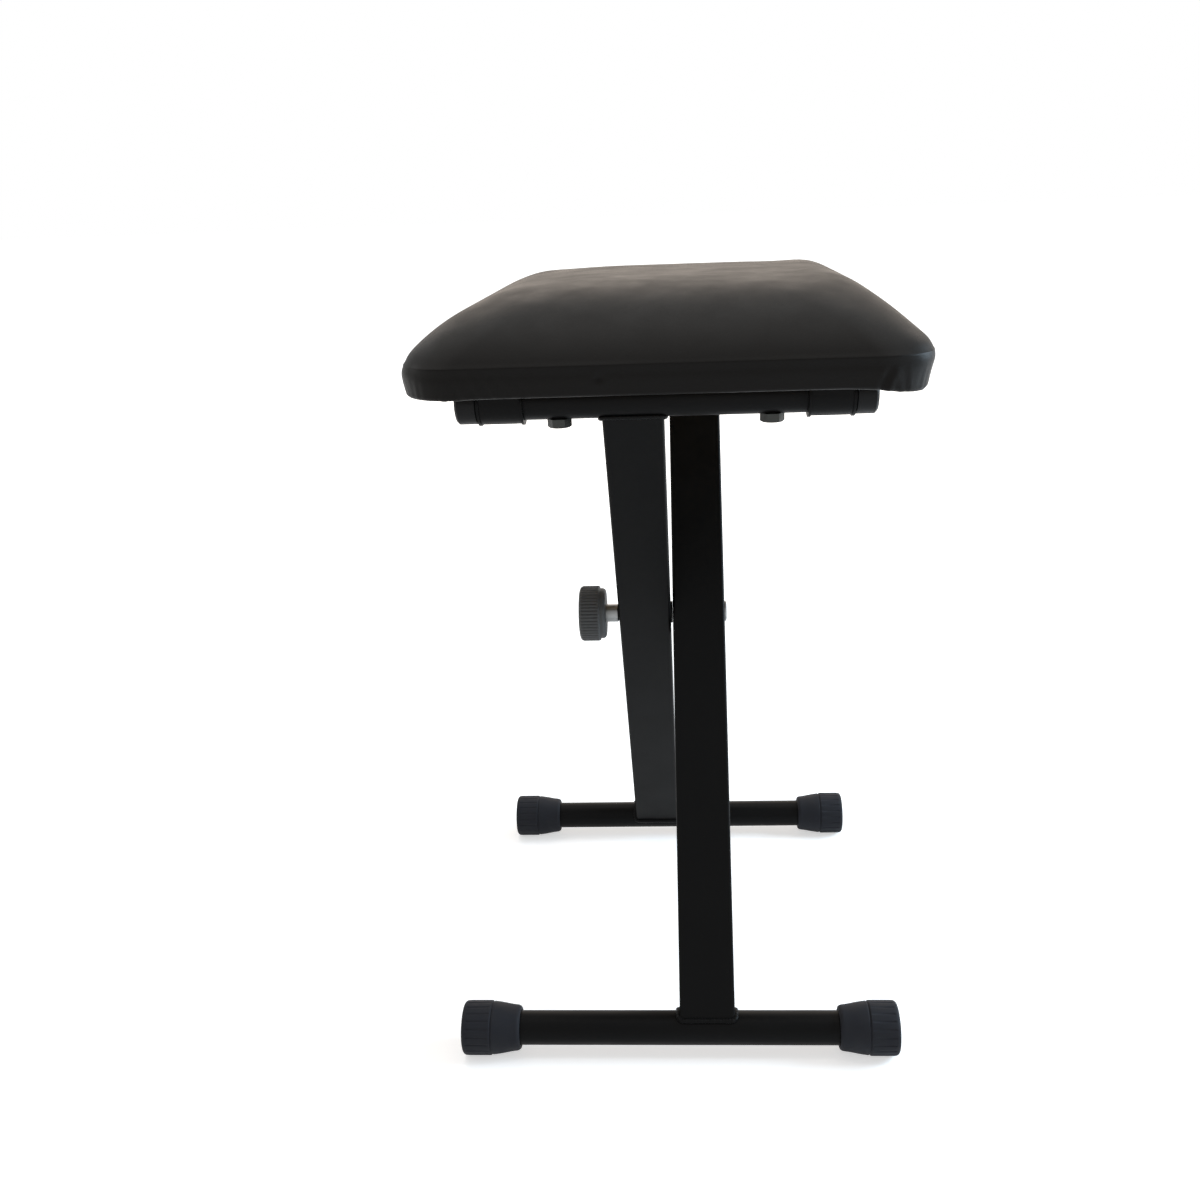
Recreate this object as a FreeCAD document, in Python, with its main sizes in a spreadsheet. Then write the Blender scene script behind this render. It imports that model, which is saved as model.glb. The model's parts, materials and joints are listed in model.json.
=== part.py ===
"""Folding keyboard bench: a padded seat on two crossed T-shaped legs.

Millimetres. The origin is on the floor at the middle of the bench, +X runs along
the floor bars, +Y from the front of the bench to its back, and +Z up.
The left leg starts at the front cross tube and stands on the rear floor bar.
The right leg starts at the rear cross tube and stands on the front floor bar.
"""
import FreeCAD, Part
import math
import os
import re

import Sketcher

# name, size in millimetres, what it is
SIZES = [
    ("seat_length", 342, "seat from front to back"),
    ("seat_width", 302, "seat along the floor bars"),
    ("seat_corner", 34, "corner radius of the seat seen from above"),
    ("side_band", 17.5, "height of the upright side below the widest line"),
    ("crown", 39, "rise of the padded top above the widest line"),
    ("drawn_in", 2, "how far the sides pull in at the bottom edge"),
    ("cover_wall", 1.2, "thickness of the seat cover"),
    ("hem", 18, "cover folded under the board"),
    ("pad_gap", 0.3, "air between the cover and what it wraps"),
    ("board_wall", 12, "thickness of the seat board"),
    ("staple_span", 10, "width of a staple"),
    ("staple_wire", 0.7, "wire of a staple"),
    ("staple_inset", 10, "staple's distance from the board's edge"),
    ("tube_height", 448, "cross tube axis above the floor"),
    ("tube_spacing", 202, "between the two cross tube axes"),
    ("bar_spacing", 292, "between the two floor bar axes"),
    ("tube_diameter", 23, "outside of the round tubes"),
    ("tube_wall", 1.5, "wall of all tubes"),
    ("cross_tube", 251, "length of a cross tube"),
    ("board_gap", 2.2, "air between a cross tube and the board"),
    ("tube_cap_diameter", 26.4, "end cap of a cross tube"),
    ("tube_cap_length", 12.5, "end cap of a cross tube along it"),
    ("tube_cap_end", 2, "closed end of a cross tube's cap"),
    ("tube_cap_edge", 1.5, "chamfer on a cross tube's cap"),
    ("grip_gap", 0.05, "air between a cap and its tube"),
    ("leg_width", 38, "leg tube along the floor bars"),
    ("leg_depth", 20, "leg tube across its length"),
    ("leg_edge", 2, "outside edge radius of a leg tube"),
    ("spacer_wall", 1.5, "gap between the two legs, and the washer in it"),
    ("weld_leg", 3, "size of the weld beads"),
    ("bar_cap_span", 300, "floor bar measured over its rubber caps"),
    ("cap_diameter", 36.4, "ribbed outer half of a floor cap"),
    ("cap_neck", 34, "smooth inner half of a floor cap"),
    ("cap_mouth", 31, "chamfered mouth of a floor cap"),
    ("cap_length", 40, "length of a floor cap"),
    ("cap_ribbed", 20, "ribbed part of a floor cap"),
    ("cap_shoulder", 6.5, "straight part of a floor cap's smooth half"),
    ("cap_end", 6, "closed end of a floor cap"),
    ("cap_flat", 0.5, "flat worn under a floor cap"),
    ("cap_edge", 3, "rounding of a cap's outer edge"),
    ("cap_groove", 0.7, "depth of the grooves between a cap's ribs"),
    ("cap_groove_width", 1.8, "width of those grooves"),
    ("strap_width", 28, "saddle strap along the tube"),
    ("strap_wall", 2, "thickness of a saddle strap"),
    ("strap_rim", 0.8, "raised rim along each edge of a strap"),
    ("strap_ear", 15, "ear of a strap beside the tube"),
    ("strap_inset", 1, "gap between a strap and the cross tube's cap"),
    ("strap_gap", 0.05, "running gap between a strap and its tube"),
    ("slot_length", 19, "slot in the underside of a strap, along the tube"),
    ("slot_width", 3, "slot in the underside of a strap, across the tube"),
    ("slot_offset", 4, "slot's distance from the lowest line of the strap"),
    ("screw_size", 4, "shank of a strap screw"),
    ("screw_head", 8, "head of a strap screw"),
    ("screw_rise", 2.6, "height of a strap screw's head"),
    ("screw_bite", 9, "strap screw inside the board"),
    ("screw_point", 1, "pointed end of a strap screw"),
    ("stop_inset", 21, "hex screw's distance from the strap beside it"),
    ("stop_size", 8, "shank of a hex screw"),
    ("stop_flats", 13, "hex screw across its flats"),
    ("stop_rise", 5.3, "height of a hex screw's head"),
    ("stop_sink", 0.5, "how far a hex head reaches up round the tube"),
    ("bolt_size", 10, "locking bolt"),
    ("bolt_gap", 0.1, "running gap round the bolt"),
    ("bolt_cut", 0.2, "parting between the two halves of the bolt, beside the right leg"),
    ("bolt_head", 15, "flanged head of the bolt"),
    ("bolt_head_rise", 1.6, "height of the bolt's head"),
    ("hole_pitch", 20, "between the height holes"),
    ("neck_diameter", 13.2, "steel neck of the knob"),
    ("neck_length", 9.6, "steel neck of the knob"),
    ("neck_edge", 1, "chamfer on the neck beside the leg"),
    ("neck_gap", 0.3, "air between the neck and the leg"),
    ("knob_diameter", 41, "knob over its ribs"),
    ("knob_step", 38, "knob's plain collar beside the neck"),
    ("knob_length", 19.6, "whole knob along the bolt"),
    ("knob_collar", 4, "length of the knob's plain collar"),
    ("knob_edge", 2.5, "rounding of the knob's edges"),
    ("knob_groove", 0.9, "depth of the grooves between the knob's ribs"),
    ("spacer_diameter", 16, "washer between the legs"),
]

# counts and shares, which have no unit
CROWN_TURNS = range(0, 85, 12)
CROWN_FULLNESS = 4.8
CROWN_ROUNDNESS = 0.93
KNOB_RIB_COUNT = 50
CAP_RIB_COUNT = 21
HEIGHT_HOLE_COUNT = 3
SIDE_STAPLE_COUNT = 7
FRONT_STAPLE_COUNT = 6
PRISM_SIDE_COUNT = 6

# how much of the side's pull is reached half way down, and where the foam meets the board
DRAW_HALF_WAY = 0.25
DRAW_AT_BOARD = 0.35

# middle point of a rounded edge, as a share of its rounding
EDGE_SHARE = 0.3

# corners of a domed screw head, as shares of its width and height
DOME_TOP = 0.3
DOME_BEND = 0.46
DOME_BEND_RISE = 0.6
BOLT_TOP = 0.42

# what reaches past a face so that a cut goes clean through it, and the widest that counts as flat
OVERCUT = 0.1
FLAT = 0.01

# formulas that several pieces share
RISE = "(tube_height - cap_diameter / 2 + cap_flat)"
RUN = "((tube_spacing + bar_spacing) / 2)"
LEAN = f"atan({RUN} / {RISE})"
LEG = f"sqrt({RUN} * {RUN} + {RISE} * {RISE})"
BAR_HEIGHT = "(cap_diameter / 2 - cap_flat)"
BOARD_BASE = "(tube_height + tube_diameter / 2 + board_gap)"
WIDEST = f"({BOARD_BASE} - cover_wall + side_band)"
LEG_MIDDLE = "(spacer_wall + leg_width) / 2"
FIRST_HOLE = f"(tube_spacing / 2 / sin({LEAN}))"
STRAP_REACH = "(cross_tube / 2 + tube_cap_end - tube_cap_length - strap_inset - strap_width / 2)"
STOP_REACH = f"({STRAP_REACH} - strap_width / 2 - stop_inset)"
TOE = "(sqrt(tube_diameter * tube_diameter - leg_depth * leg_depth) / 2)"

doc = FreeCAD.newDocument("keyboard_bench")
sheet = doc.addObject("Spreadsheet::Sheet", "Sizes")
for row, (alias, size, meaning) in enumerate(SIZES, start=1):
    sheet.set(f"A{row}", meaning)
    sheet.set(f"B{row}", str(size))
    sheet.setAlias(f"B{row}", alias)
doc.recompute()

ALIASES = re.compile(r"\b(" + "|".join(alias for alias, _, _ in SIZES) + r")\b")
PIECES = []


def sized(formula):
    """Point every size named in a formula at its spreadsheet cell."""
    return ALIASES.sub(r"Sizes.\1", formula)


def bind(thing, **formulas):
    """Bind properties to formulas; a double underscore stands for a dot."""
    for name, formula in formulas.items():
        thing.setExpression(name.replace("__", "."), sized(formula))


def piece(thing, label):
    """Name a finished sub-part."""
    thing.Label = label
    PIECES.append(thing)
    return thing


def origin_plane(body, role):
    return next(plane for plane in body.Origin.OriginFeatures if plane.Role == role)


def sketch_in(body, role, name, offset=None):
    """A sketch on one of the body's own planes, moved along its normal if asked."""
    sketch = body.newObject("Sketcher::SketchObject", name)
    sketch.AttachmentSupport = [(origin_plane(body, role), "")]
    sketch.MapMode = "FlatFace"
    if offset:
        bind(sketch, AttachmentOffset__Base__z=offset)
    return sketch


def fix_point(sketch, edge, end, across, up):
    """Hold one point of a sketch at two formulas measured from its origin."""
    for formula, kind, axis in ((across, "DistanceX", -2), (up, "DistanceY", -1)):
        if formula == "0":
            sketch.addConstraint(Sketcher.Constraint("PointOnObject", edge, end, axis))
            continue
        index = sketch.addConstraint(Sketcher.Constraint(kind, -1, 1, edge, end, number(formula)))
        sketch.setExpression(f"Constraints[{index}]", sized(formula))


def number(formula):
    """Work a formula out as a number, to place a sketch's first guess."""
    result = sheet.evalExpression(sized(formula))
    return float(getattr(result, "Value", result))


def polygon(sketch, corners):
    """A closed outline of straight lines through points given as formulas."""
    first = sketch.GeometryCount
    points = [FreeCAD.Vector(number(across), number(up), 0) for across, up in corners]
    for index, point in enumerate(points):
        following = points[(index + 1) % len(points)]
        sketch.addGeometry(Part.LineSegment(point, following))
    for index in range(len(points)):
        edge = first + index
        following = first + (index + 1) % len(points)
        sketch.addConstraint(Sketcher.Constraint("Coincident", edge, 2, following, 1))
    for index, (across, up) in enumerate(corners):
        fix_point(sketch, first + index, 1, across, up)


def circle(sketch, radius, across="0", up="0"):
    """A circle whose radius and middle are formulas."""
    middle = FreeCAD.Vector(number(across), number(up), 0)
    shape = Part.Circle(middle, FreeCAD.Vector(0, 0, 1), number(radius))
    edge = sketch.addGeometry(shape)
    index = sketch.addConstraint(Sketcher.Constraint("Radius", edge, number(radius)))
    sketch.setExpression(f"Constraints[{index}]", sized(radius))
    if across == "0" and up == "0":
        sketch.addConstraint(Sketcher.Constraint("Coincident", edge, 3, -1, 1))
    else:
        fix_point(sketch, edge, 3, across, up)


def rounded_rectangle(sketch, half_across, half_up, radius):
    """A rectangle with round corners, middle on the origin."""
    reach = (number(half_across), number(half_up))
    bend = number(radius)
    quarter = math.pi / 2
    first = sketch.GeometryCount
    signs = ((1, 1), (-1, 1), (-1, -1), (1, -1))
    up = FreeCAD.Vector(0, 0, 1)
    for turn, (side, end) in enumerate(signs):
        middle = FreeCAD.Vector(side * (reach[0] - bend), end * (reach[1] - bend), 0)
        arc = Part.ArcOfCircle(Part.Circle(middle, up, bend), turn * quarter, (turn + 1) * quarter)
        sketch.addGeometry(arc)
    for turn in range(4):
        start = sketch.Geometry[first + turn].EndPoint
        finish = sketch.Geometry[first + (turn + 1) % 4].StartPoint
        sketch.addGeometry(Part.LineSegment(start, finish))
    for turn, (side, end) in enumerate(signs):
        line = first + 4 + turn
        sketch.addConstraint(Sketcher.Constraint("Tangent", first + turn, 2, line, 1))
        sketch.addConstraint(Sketcher.Constraint("Tangent", line, 2, first + (turn + 1) % 4, 1))
        sign_across = "" if side > 0 else "-1 * "
        sign_up = "" if end > 0 else "-1 * "
        fix_point(
            sketch, first + turn, 3,
            f"{sign_across}(({half_across}) - ({radius}))",
            f"{sign_up}(({half_up}) - ({radius}))",
        )
    index = sketch.addConstraint(Sketcher.Constraint("Radius", first, bend))
    sketch.setExpression(f"Constraints[{index}]", sized(radius))


def new_body(label):
    body = doc.addObject("PartDesign::Body", label + "_body")
    return piece(body, label)


def pad(body, sketch, length, middle=False):
    feature = body.newObject("PartDesign::Pad", sketch.Name + "_pad")
    feature.Profile = sketch
    feature.Midplane = middle
    bind(feature, Length=length)
    return feature


def pocket(body, sketch, length, middle=False, reverse=False):
    feature = body.newObject("PartDesign::Pocket", sketch.Name + "_pocket")
    feature.Profile = sketch
    feature.Midplane = middle
    feature.Reversed = reverse
    bind(feature, Length=length)
    return feature


def revolve(body, sketch, axis_name="H_Axis"):
    feature = body.newObject("PartDesign::Revolution", sketch.Name + "_turned")
    feature.Profile = sketch
    feature.ReferenceAxis = (sketch, [axis_name])
    feature.Angle = 360
    return feature


def groups(label, parts):
    """One named piece made of several separate solids."""
    group = doc.addObject("Part::Compound", label + "_group")
    group.Links = parts
    return piece(group, label)


def primitive(kind, name, **formulas):
    shape = doc.addObject("Part::" + kind, name)
    bind(shape, **formulas)
    return shape


def cut(label, base, tool):
    result = doc.addObject("Part::Cut", label + "_cut")
    result.Base = base
    result.Tool = tool
    return result


def fuse(label, parts):
    result = doc.addObject("Part::MultiFuse", label + "_joined")
    result.Shapes = parts
    return result


def common(label, parts):
    result = doc.addObject("Part::MultiCommon", label + "_shared")
    result.Shapes = parts
    return result


X_AXIS = FreeCAD.Vector(1, 0, 0)
Y_AXIS = FreeCAD.Vector(0, 1, 0)


def place_on_cross_tube(thing, side):
    """Place a piece drawn round the X axis on a cross tube's axis."""
    bind(thing, Placement__Base__y=f"{side} * tube_spacing / 2", Placement__Base__z="tube_height")


def place_on_floor_bar(thing, side):
    """Place a piece drawn round the X axis on the floor bar of the leg whose cross tube is at side."""
    bind(thing, Placement__Base__y=f"-1 * {side} * bar_spacing / 2", Placement__Base__z=BAR_HEIGHT)


def hang_on_leg(thing, side):
    """Place a piece drawn in the leg's own frame: cross tube axis at the origin, leg along -Z."""
    thing.Placement = FreeCAD.Placement(FreeCAD.Vector(), FreeCAD.Rotation(X_AXIS, 1))
    bind(
        thing,
        Placement__Base__y=f"{side} * tube_spacing / 2",
        Placement__Base__z="tube_height",
        Placement__Rotation__Angle=f"-1 * {side} * {LEAN}",
    )


# seat


def crown_level(turn, inset, sink):
    """Half width, half length, corner radius and height of the top at a turn in degrees.

    The top is a quarter of a fat oval: 0 degrees is its widest line, 90 degrees its middle.
    """
    keep = math.cos(math.radians(turn)) ** (2 / CROWN_FULLNESS)
    swell = math.sin(math.radians(turn)) ** (2 * CROWN_ROUNDNESS)
    half_width = f"((seat_width / 2 - {inset}) * {keep})"
    half_length = f"((seat_length / 2 - {inset}) * {keep})"
    spread = f"{1 - keep} * (seat_width / 2 - seat_corner)"
    corner = f"((seat_corner - {inset} + {spread}) * {keep})"
    height = f"({WIDEST} + (crown - {sink}) * {swell})"
    return half_width, half_length, corner, height


def side_level(inset, draw, height):
    """The same four formulas on the upright side of the seat."""
    half_width = f"(seat_width / 2 - {inset} - drawn_in * {draw})"
    half_length = f"(seat_length / 2 - {inset} - drawn_in * {draw})"
    corner = f"(seat_corner - {inset} - drawn_in * {draw})"
    return half_width, half_length, corner, height


def pillow(body, kind, name, base, inset, sink, floor=None):
    """A loft through level outlines, from the bottom edge to the top of the crown."""
    half_way = f"({WIDEST} - side_band / 2)"
    levels = [side_level(inset, 1, base), side_level(inset, DRAW_HALF_WAY, half_way)]
    if floor:
        levels = [side_level(inset, DRAW_AT_BOARD, floor)]
    levels += [crown_level(turn, inset, sink) for turn in CROWN_TURNS]
    sketches = []
    for index, (half_width, half_length, corner, height) in enumerate(levels):
        sketch = sketch_in(body, "XY_Plane", f"{name}_level_{index}", offset=height)
        rounded_rectangle(sketch, half_width, half_length, corner)
        sketches.append(sketch)
    loft = body.newObject(f"PartDesign::{kind}Loft", f"{name}_loft")
    loft.Profile = sketches[0]
    loft.Sections = sketches[1:]
    loft.Ruled = True
    return loft


def make_seat_board():
    body = new_body("seat_board")
    outline = sketch_in(body, "XY_Plane", "board_outline", offset=BOARD_BASE)
    shrink = "(cover_wall + drawn_in + pad_gap)"
    rounded_rectangle(
        outline,
        f"(seat_width / 2 - {shrink})",
        f"(seat_length / 2 - {shrink})",
        f"(seat_corner - {shrink})",
    )
    pad(body, outline, "board_wall")
    holes = sketch_in(body, "XY_Plane", "board_screw_holes", offset=BOARD_BASE)
    for across, up in screw_places():
        circle(holes, "screw_size / 2", across, up)
    pocket(body, holes, "screw_bite", reverse=True)


def make_seat_foam():
    body = new_body("seat_foam")
    start = f"({BOARD_BASE} + board_wall)"
    pillow(body, "Additive", "foam", start, "(cover_wall + pad_gap)", "2 * cover_wall", floor=start)


def make_seat_cover():
    body = new_body("seat_cover")
    pillow(body, "Additive", "cover_outside", f"({BOARD_BASE} - cover_wall)", "0", "0")
    pillow(body, "Subtractive", "cover_inside", BOARD_BASE, "cover_wall", "cover_wall")
    opening = sketch_in(body, "XY_Plane", "cover_opening", offset=BOARD_BASE)
    rounded_rectangle(
        opening,
        "(seat_width / 2 - drawn_in - hem)",
        "(seat_length / 2 - drawn_in - hem)",
        "(seat_corner / 2)",
    )
    pocket(body, opening, "2 * cover_wall", middle=True)


def make_staples():
    staples = []
    under = f"{BOARD_BASE} - cover_wall - staple_wire"
    edge_x = "(seat_width / 2 - drawn_in - staple_inset)"
    edge_y = "(seat_length / 2 - drawn_in - staple_inset)"
    rows = (
        (FRONT_STAPLE_COUNT, "seat_width", edge_y, False),
        (SIDE_STAPLE_COUNT, "seat_length", edge_x, True),
    )
    for count, along, edge, upright in rows:
        for side in (-1, 1):
            for index in range(count):
                share = (index + 0.5) / count - 0.5
                walk = f"{share} * ({along} - 2 * seat_corner)"
                name = f"staple_{len(staples)}"
                long_side, thin_side = "staple_span", "staple_wire"
                if upright:
                    staple = primitive(
                        "Box", name, Length=thin_side, Width=long_side, Height=thin_side,
                    )
                    bind(staple, Placement__Base__x=f"{side} * {edge} - staple_wire / 2")
                    bind(staple, Placement__Base__y=f"{walk} - staple_span / 2")
                else:
                    staple = primitive(
                        "Box", name, Length=long_side, Width=thin_side, Height=thin_side,
                    )
                    bind(staple, Placement__Base__x=f"{walk} - staple_span / 2")
                    bind(staple, Placement__Base__y=f"{side} * {edge} - staple_wire / 2")
                bind(staple, Placement__Base__z=under)
                staples.append(staple)
    groups("cover_staples", staples)


# saddle straps and their screws


def screw_places():
    """Middle of each strap screw, seen from below."""
    places = []
    for side in (-1, 1):
        for end in (-1, 1):
            for ear in (-1, 1):
                offset = f"{ear} * (tube_diameter / 2 + strap_gap + strap_wall + strap_ear / 2)"
                places.append((f"{side} * {STRAP_REACH}", f"{end} * tube_spacing / 2 + {offset}"))
    return places


def make_strap(label, side, end):
    """A saddle that wraps under the cross tube, with an ear on each side and raised rims."""
    inside = "(tube_diameter / 2 + strap_gap)"
    outside = f"({inside} + strap_wall)"
    drop = "(tube_diameter / 2 + board_gap)"

    def block(name, half, bottom, top, width):
        box = primitive(
            "Box", f"{label}_{name}",
            Length=width, Width=f"2 * {half}", Height=f"{top} - ({bottom})",
        )
        bind(box, Placement__Base__x=f"{side} * {STRAP_REACH} - {width} / 2")
        bind(box, Placement__Base__y=f"{end} * tube_spacing / 2 - {half}")
        bind(box, Placement__Base__z=f"tube_height + ({bottom})")
        return box

    def barrel(name, radius, width, shift="0"):
        rod = primitive("Cylinder", f"{label}_{name}", Radius=radius, Height=width)
        rod.Placement = FreeCAD.Placement(FreeCAD.Vector(), FreeCAD.Rotation(Y_AXIS, 90))
        bind(rod, Placement__Base__x=f"{side} * {STRAP_REACH} - {width} / 2 + {shift}")
        bind(rod, Placement__Base__y=f"{end} * tube_spacing / 2")
        bind(rod, Placement__Base__z="tube_height")
        return rod

    rim_width = "(2 * strap_rim)"
    rim_shift = "(strap_width / 2 - strap_rim)"
    solid = fuse(
        label + "_blank",
        [
            barrel("bend", outside, "strap_width"),
            barrel("rim_in", f"({outside} + strap_rim)", rim_width, f"-1 * {rim_shift}"),
            barrel("rim_out", f"({outside} + strap_rim)", rim_width, rim_shift),
            block("sides", outside, "0", drop, "strap_width"),
            block("ears", f"({outside} + strap_ear)", f"{drop} - strap_wall", drop, "strap_width"),
        ],
    )
    room = fuse(
        label + "_room",
        [
            barrel("bore", inside, "(2 * strap_width)"),
            block("throat", inside, "0", f"({drop} + strap_wall)", "(2 * strap_width)"),
            block(
                "above", f"({outside} + strap_ear)", drop, f"({drop} + 2 * tube_diameter)",
                "(2 * strap_width)",
            ),
        ],
    )
    holes = []
    for ear in (-1, 1):
        hole = primitive(
            "Cylinder", f"{label}_hole_{ear + 1}",
            Radius="screw_size / 2 + strap_gap", Height="4 * strap_wall",
        )
        bind(hole, Placement__Base__x=f"{side} * {STRAP_REACH}")
        offset = f"{ear} * ({outside} + strap_ear / 2)"
        bind(hole, Placement__Base__y=f"{end} * tube_spacing / 2 + {offset}")
        bind(hole, Placement__Base__z=f"tube_height + {drop} - 2 * strap_wall")
        holes.append(hole)
    slot = primitive(
        "Box", label + "_slot", Length="slot_length", Width="slot_width", Height="tube_diameter",
    )
    bind(slot, Placement__Base__x=f"{side} * {STRAP_REACH} - slot_length / 2")
    bind(slot, Placement__Base__y=f"{end} * (tube_spacing / 2 + slot_offset) - slot_width / 2")
    bind(slot, Placement__Base__z="tube_height - 1.5 * tube_diameter")
    tools = fuse(label + "_tools", [room, slot] + holes)
    piece(cut(label, solid, tools), label)


def make_strap_screws():
    screws = []
    ear_face = f"({BOARD_BASE} - strap_wall)"
    for index, (across, up) in enumerate(screw_places()):
        body = doc.addObject("PartDesign::Body", f"strap_screw_{index}")
        outline = sketch_in(body, "XZ_Plane", f"strap_screw_outline_{index}")
        polygon(
            outline,
            [
                ("0", "-1 * screw_rise"),
                (f"screw_head * {DOME_TOP}", "-1 * screw_rise"),
                (f"screw_head * {DOME_BEND}", f"-1 * {DOME_BEND_RISE} * screw_rise"),
                ("screw_head / 2", "0"),
                ("screw_size / 2 - strap_gap", "0"),
                ("screw_size / 2 - strap_gap", "screw_bite + strap_wall - screw_point"),
                ("0", "screw_bite + strap_wall"),
            ],
        )
        revolve(body, outline, "V_Axis")
        bind(body, Placement__Base__x=across, Placement__Base__y=up, Placement__Base__z=ear_face)
        screws.append(body)
    groups("strap_screws", screws)


# legs


def make_leg_tube(label, side, lateral):
    """A rectangular tube, its ends coped to sit on the round tubes, with the height holes."""
    body = new_body(label)
    section = sketch_in(body, "XY_Plane", label + "_section", offset=f"-1 * ({LEG} - {TOE})")
    middle = f"{lateral} * {LEG_MIDDLE}"
    corners = []
    for inset in ("0", "tube_wall"):
        half = f"(leg_width / 2 - {inset})"
        deep = f"(leg_depth / 2 - {inset})"
        corners.append(
            [
                (f"{middle} - {half}", f"-1 * {deep}"),
                (f"{middle} + {half}", f"-1 * {deep}"),
                (f"{middle} + {half}", deep),
                (f"{middle} - {half}", deep),
            ]
        )
    polygon(section, corners[0])
    pad(body, section, f"{LEG} - 2 * {TOE}")
    round_long_edges(body, label)
    core = sketch_in(body, "XY_Plane", label + "_core", offset=f"-1 * {LEG}")
    polygon(core, corners[1])
    pocket(body, core, LEG, reverse=True)
    ends = sketch_in(body, "YZ_Plane", label + "_copes")
    circle(ends, "tube_diameter / 2")
    circle(ends, "tube_diameter / 2", "0", f"-1 * {LEG}")
    pocket(body, ends, "4 * leg_width", middle=True)
    holes = sketch_in(body, "YZ_Plane", label + "_height_holes")
    for step in range(HEIGHT_HOLE_COUNT):
        circle(holes, "bolt_size / 2 + bolt_gap", "0", f"-1 * ({FIRST_HOLE} - {step} * hole_pitch)")
    pocket(body, holes, "4 * leg_width", middle=True)
    hang_on_leg(body, side)


def round_long_edges(body, label):
    """Round the four long edges of a leg tube."""
    doc.recompute()
    solid = body.Tip
    long_edges = []
    for index, edge in enumerate(solid.Shape.Edges, start=1):
        box = edge.BoundBox
        if box.XLength < FLAT and box.YLength < FLAT:
            long_edges.append(f"Edge{index}")
    fillet = body.newObject("PartDesign::Fillet", label + "_edges")
    fillet.Base = (solid, long_edges)
    bind(fillet, Radius="leg_edge")


def make_round_tube(label, length):
    """A round tube on the X axis."""
    body = new_body(label)
    section = sketch_in(body, "YZ_Plane", label + "_section")
    circle(section, "tube_diameter / 2")
    circle(section, "tube_diameter / 2 - tube_wall")
    pad(body, section, length, middle=True)
    return body


def make_cross_tube(label, side):
    """The cross tube, drilled from below for its two hex screws."""
    body = make_round_tube(label, "cross_tube")
    holes = sketch_in(body, "XY_Plane", label + "_screw_holes")
    for end in (-1, 1):
        circle(holes, "stop_size / 2 + strap_gap", f"{end} * {STOP_REACH}", "0")
    pocket(body, holes, "tube_diameter")
    place_on_cross_tube(body, side)


def make_floor_bar(label, side):
    body = make_round_tube(label, "bar_cap_span - 2 * cap_end")
    place_on_floor_bar(body, side)


def make_tube_caps(label, side):
    """Two plastic caps on the ends of a cross tube."""
    caps = []
    bore = "(tube_diameter / 2 + grip_gap)"
    for end in (-1, 1):
        body = doc.addObject("PartDesign::Body", f"{label}_{end + 1}")
        outline = sketch_in(body, "XY_Plane", f"{label}_outline_{end + 1}")
        tip = "(cross_tube / 2 + tube_cap_end)"
        polygon(
            outline,
            [
                (f"{end} * {tip}", "0"),
                (f"{end} * {tip}", "tube_cap_diameter / 2 - tube_cap_edge"),
                (f"{end} * ({tip} - tube_cap_edge)", "tube_cap_diameter / 2"),
                (f"{end} * ({tip} - tube_cap_length)", "tube_cap_diameter / 2"),
                (f"{end} * ({tip} - tube_cap_length)", bore),
                (f"{end} * cross_tube / 2", bore),
                (f"{end} * cross_tube / 2", "0"),
            ],
        )
        revolve(body, outline)
        place_on_cross_tube(body, side)
        caps.append(body)
    groups(label, caps)


def make_stop_screws(label, side):
    """Two hex screws that stand out under a cross tube."""
    screws = []
    for end in (-1, 1):
        prism = primitive(
            "Prism", f"{label}_prism_{end + 1}",
            Circumradius="stop_flats / sqrt(3)", Height="stop_rise",
        )
        prism.Polygon = PRISM_SIDE_COUNT
        taper = primitive(
            "Cone", f"{label}_taper_{end + 1}", Radius1="stop_flats / 2",
            Radius2="stop_flats / 2 + stop_rise / tan(30)", Height="stop_rise",
        )
        head = common(f"{label}_head_{end + 1}", [prism, taper])
        shank = primitive(
            "Cylinder", f"{label}_shank_{end + 1}",
            Radius="stop_size / 2", Height="tube_diameter / 2",
        )
        bind(head, Placement__Base__x=f"{end} * {STOP_REACH}")
        bind(head, Placement__Base__z="-1 * (tube_diameter / 2 + stop_rise - stop_sink)")
        bind(shank, Placement__Base__x=f"{end} * {STOP_REACH}")
        bind(shank, Placement__Base__z="-1 * tube_diameter / 2 - stop_sink")
        screw = fuse(f"{label}_{end + 1}", [head, shank])
        seat = primitive(
            "Cylinder", f"{label}_seat_{end + 1}",
            Radius="tube_diameter / 2", Height="3 * stop_flats",
        )
        seat.Placement = FreeCAD.Placement(FreeCAD.Vector(), FreeCAD.Rotation(Y_AXIS, 90))
        bind(seat, Placement__Base__x=f"{end} * {STOP_REACH} - 1.5 * stop_flats")
        inner = primitive(
            "Cylinder", f"{label}_stem_{end + 1}",
            Radius="stop_size / 2", Height="tube_diameter / 2",
        )
        bind(inner, Placement__Base__x=f"{end} * {STOP_REACH}")
        bind(inner, Placement__Base__z="-1 * tube_diameter / 2")
        trimmed = cut(f"{label}_trimmed_{end + 1}", screw, seat)
        screws.append(fuse(f"{label}_whole_{end + 1}", [trimmed, inner]))
    group = groups(label, screws)
    place_on_cross_tube(group, side)


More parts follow.
